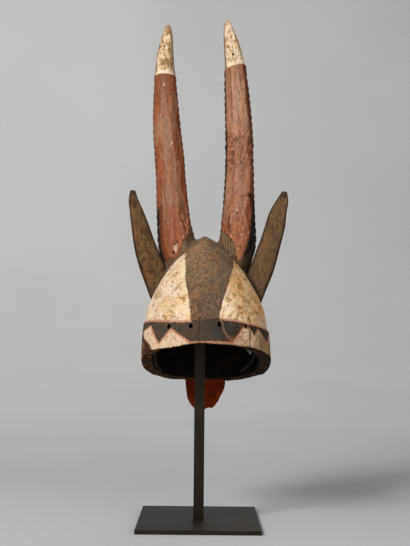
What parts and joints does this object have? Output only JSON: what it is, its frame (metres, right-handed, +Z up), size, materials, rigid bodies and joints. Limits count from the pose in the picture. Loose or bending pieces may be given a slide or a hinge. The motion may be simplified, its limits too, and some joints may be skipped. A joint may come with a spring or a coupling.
{
  "type": "antelope helmet mask on a display stand",
  "caption": "Carved wooden helmet mask with tall ringed horns, leaf-shaped ears, a painted face and a hollow for the head, held up by a post on a flat square plate.",
  "frame": {"origin": "centre of the base plate's underside, on the surface it stands on", "axes": "+Z up along the post; the face looks along -Y; +X is to the viewer's right"},
  "size_m": [0.3303, 0.2808, 1.0389],
  "materials": {
    "carved_wood": "dry earth paint in brick red, cream and dark brown over carved wood",
    "dark_steel": "satin dark bronze coating",
    "grey_plastic": "matte grey plastic"
  },
  "bodies": {
    "root": {"mask": "carved_wood", "base_plate": "dark_steel", "post": "dark_steel", "cradle_hoop": "dark_steel", "cradle_arm_left": "dark_steel", "cradle_arm_right": "dark_steel", "cradle_tab": "grey_plastic"}
  },
  "joints": []
}
